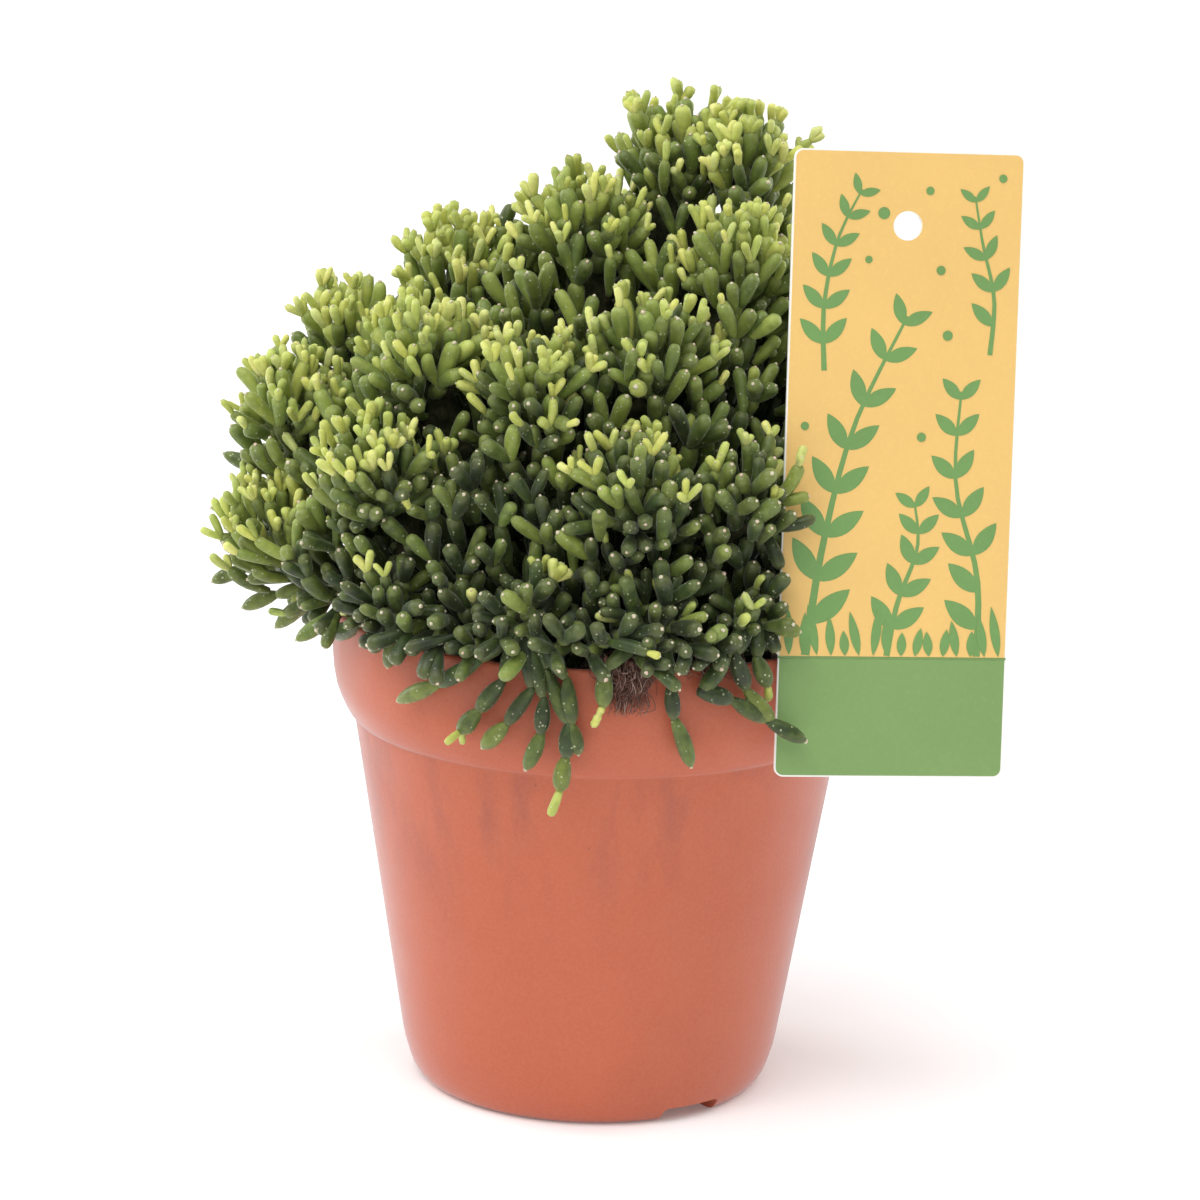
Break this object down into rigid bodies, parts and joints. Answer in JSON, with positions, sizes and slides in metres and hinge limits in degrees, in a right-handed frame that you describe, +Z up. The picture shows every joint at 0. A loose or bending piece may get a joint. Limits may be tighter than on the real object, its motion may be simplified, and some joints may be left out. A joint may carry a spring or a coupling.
{
  "type": "potted dancing bones cactus",
  "caption": "Bushy jointed cactus with small club-shaped green stems in a terracotta-coloured plastic nursery pot, with a plain card label at the rim.",
  "frame": {"origin": "centre of the pot's foot, on the surface that it stands on", "axes": "+Z up along the pot's axis, -Y towards the front of the plant, +X to its right, where the label stands"},
  "size_m": [0.1767, 0.1474, 0.2228],
  "materials": {
    "pot_plastic": "injection-moulded terracotta-coloured plastic with a fine grain and a dull sheen",
    "potting_soil": "damp dark peat with brown root fibres",
    "label_card": "coated card with a warm yellow panel over a green band",
    "cactus_stem": "waxy green skin, darker on old joints and yellow-green on young ones, with pale areoles"
  },
  "bodies": {
    "root": {"pot": "pot_plastic", "soil": "potting_soil", "plant_label": "label_card", "cutting_01": "cactus_stem", "cutting_02": "cactus_stem", "cutting_03": "cactus_stem", "cutting_04": "cactus_stem", "cutting_05": "cactus_stem", "cutting_06": "cactus_stem", "cutting_07": "cactus_stem", "cutting_08": "cactus_stem", "cutting_09": "cactus_stem", "cutting_10": "cactus_stem", "cutting_11": "cactus_stem", "cutting_12": "cactus_stem", "cutting_13": "cactus_stem", "cutting_14": "cactus_stem", "cutting_15": "cactus_stem", "cutting_16": "cactus_stem", "cutting_17": "cactus_stem", "cutting_18": "cactus_stem", "cutting_19": "cactus_stem", "cutting_20": "cactus_stem", "cutting_21": "cactus_stem", "cutting_22": "cactus_stem", "cutting_23": "cactus_stem", "cutting_24": "cactus_stem", "cutting_25": "cactus_stem", "cutting_26": "cactus_stem", "cutting_27": "cactus_stem"}
  },
  "joints": []
}
